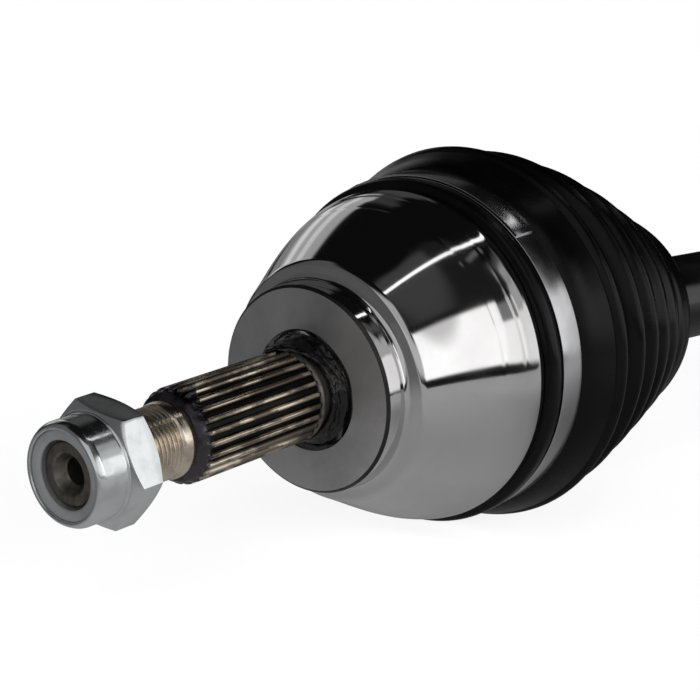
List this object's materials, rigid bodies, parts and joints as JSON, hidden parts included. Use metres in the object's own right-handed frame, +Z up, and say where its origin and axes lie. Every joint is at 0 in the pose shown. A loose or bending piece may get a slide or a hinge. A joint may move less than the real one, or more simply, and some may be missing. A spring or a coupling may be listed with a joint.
{
  "type": "drive shaft",
  "caption": "Car half shaft with a ball joint in a polished bell, splined threaded stub and hub nut at the wheel end, a plunging roller joint at the other, and ribbed rubber boots",
  "frame": {"origin": "on the shaft's centre line, at the shoulder between the gearbox seal journal and the roller joint's housing", "axes": "+X along the bar from the gearbox end to the wheel end, +Z up, +Y to the side; the wheel end droops about the ball joint's centre"},
  "size_m": [0.6055, 0.1146, 0.1141],
  "materials": {
    "forged_steel": "satin",
    "polished_steel": "polished",
    "black_rubber": "semi-gloss",
    "band_steel": "polished",
    "zinc_steel": "zinc plated",
    "nylon": "matt",
    "black_paint": "gloss",
    "bearing_steel": "ground",
    "cage_steel": "satin",
    "spring_steel": "dark oiled"
  },
  "bodies": {
    "gearbox_end": {"inner_housing": "forged_steel", "inner_stub_ring": "spring_steel", "inner_boot": "black_rubber", "inner_boot_large_clamp": "band_steel"},
    "tilt_carriage": {"needles_a": "bearing_steel"},
    "roller_a_body": {"roller_a": "bearing_steel"},
    "half_shaft": {"bar": "black_paint", "spider": "forged_steel", "spider_ring": "spring_steel", "trunnion_clips": "spring_steel", "needles_b": "bearing_steel", "needles_c": "bearing_steel", "inner_race": "cage_steel", "race_ring": "spring_steel", "inner_boot_small_clamp": "band_steel", "outer_boot_small_clamp": "band_steel"},
    "roller_b_body": {"roller_b": "bearing_steel"},
    "roller_c_body": {"roller_c": "bearing_steel"},
    "ball_cage": {"cage": "cage_steel", "ball_2": "bearing_steel", "ball_5": "bearing_steel"},
    "ball_1_body": {"ball_1": "bearing_steel"},
    "ball_3_body": {"ball_3": "bearing_steel"},
    "ball_4_body": {"ball_4": "bearing_steel"},
    "ball_6_body": {"ball_6": "bearing_steel"},
    "wheel_end": {"outer_housing": "polished_steel", "hub_nut": "zinc_steel", "nut_insert": "nylon", "outer_boot": "black_rubber", "outer_boot_large_clamp": "band_steel"}
  },
  "joints": [
    {"name": "inner_plunge", "type": "slide", "parent": "gearbox_end", "child": "tilt_carriage", "axis": [1, 0, 0], "range_m": [-0.015, 0.015], "deforming": ["inner_boot"]},
    {"name": "roller_a_spin", "type": "hinge", "parent": "tilt_carriage", "child": "roller_a_body", "pos_m": [0.05094, 0.021, 0], "axis": [0, 1, 0], "range_deg": [-60, 60]},
    {"name": "inner_tilt", "type": "hinge", "parent": "tilt_carriage", "child": "half_shaft", "pos_m": [0.05094, 0, 0], "axis": [0, 1, 0], "range_deg": [-15, 15], "deforming": ["inner_boot"]},
    {"name": "roller_b_spin", "type": "hinge", "parent": "half_shaft", "child": "roller_b_body", "pos_m": [0.05094, -0.0105, 0.01819], "axis": [0, -0.5, 0.866], "range_deg": [-60, 60]},
    {"name": "roller_c_spin", "type": "hinge", "parent": "half_shaft", "child": "roller_c_body", "pos_m": [0.05094, -0.0105, -0.01819], "axis": [0, -0.5, -0.866], "range_deg": [-60, 60]},
    {"name": "outer_tilt", "type": "hinge", "parent": "half_shaft", "child": "wheel_end", "pos_m": [0.41093, 0, 0], "axis": [0, 1, 0], "range_deg": [-50.3, 39.7], "deforming": ["outer_boot"]},
    {"name": "cage_tilt", "type": "hinge", "parent": "half_shaft", "child": "ball_cage", "pos_m": [0.41093, 0, 0], "axis": [0, 1, 0], "range_deg": [-25.5, 20.5]},
    {"name": "ball_1_roll", "type": "hinge", "parent": "half_shaft", "child": "ball_1_body", "pos_m": [0.41093, 0, 0], "axis": [0, 0.866, -0.5], "range_deg": [-22.5, 22.5]},
    {"name": "ball_3_roll", "type": "hinge", "parent": "half_shaft", "child": "ball_3_body", "pos_m": [0.41093, 0, 0], "axis": [0, -0.866, -0.5], "range_deg": [-22.5, 22.5]},
    {"name": "ball_4_roll", "type": "hinge", "parent": "half_shaft", "child": "ball_4_body", "pos_m": [0.41093, 0, 0], "axis": [0, -0.866, 0.5], "range_deg": [-22.5, 22.5]},
    {"name": "ball_6_roll", "type": "hinge", "parent": "half_shaft", "child": "ball_6_body", "pos_m": [0.41093, 0, 0], "axis": [0, 0.866, 0.5], "range_deg": [-22.5, 22.5]}
  ],
  "couplings": [
    {"joint": "roller_a_spin", "follows": "inner_plunge", "rad_per_m": -58.824},
    {"joint": "roller_b_spin", "follows": "inner_plunge", "rad_per_m": -58.824},
    {"joint": "roller_c_spin", "follows": "inner_plunge", "rad_per_m": -58.824},
    {"joint": "cage_tilt", "follows": "outer_tilt", "ratio": 0.5},
    {"joint": "ball_1_roll", "follows": "outer_tilt", "ratio": 0.43301},
    {"joint": "ball_3_roll", "follows": "outer_tilt", "ratio": -0.43301},
    {"joint": "ball_4_roll", "follows": "outer_tilt", "ratio": -0.43301},
    {"joint": "ball_6_roll", "follows": "outer_tilt", "ratio": 0.43301}
  ]
}
